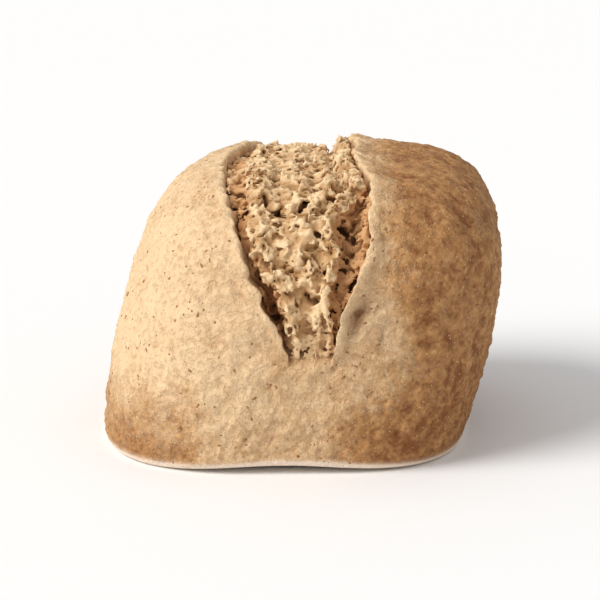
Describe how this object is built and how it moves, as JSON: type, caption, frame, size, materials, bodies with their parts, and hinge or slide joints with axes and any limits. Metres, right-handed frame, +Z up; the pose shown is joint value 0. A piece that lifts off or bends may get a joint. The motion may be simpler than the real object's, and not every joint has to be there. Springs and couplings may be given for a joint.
{
  "type": "whole wheat roll",
  "caption": "Square whole wheat bread roll with a flat base, a broad leaning crown and a coarse torn split down its front and over the top.",
  "frame": {"origin": "centre of the roll's bounding box in plan, on the surface that its flat base rests on", "axes": "+Z up, front with the tear towards -Y, the crown leaning towards +X"},
  "size_m": [0.0888, 0.0868, 0.0634],
  "materials": {
    "crust": "matte baked crust dusted with flour, with coarse open crumb in the tear"
  },
  "bodies": {
    "root": {"whole_wheat_roll": "crust"}
  },
  "joints": []
}
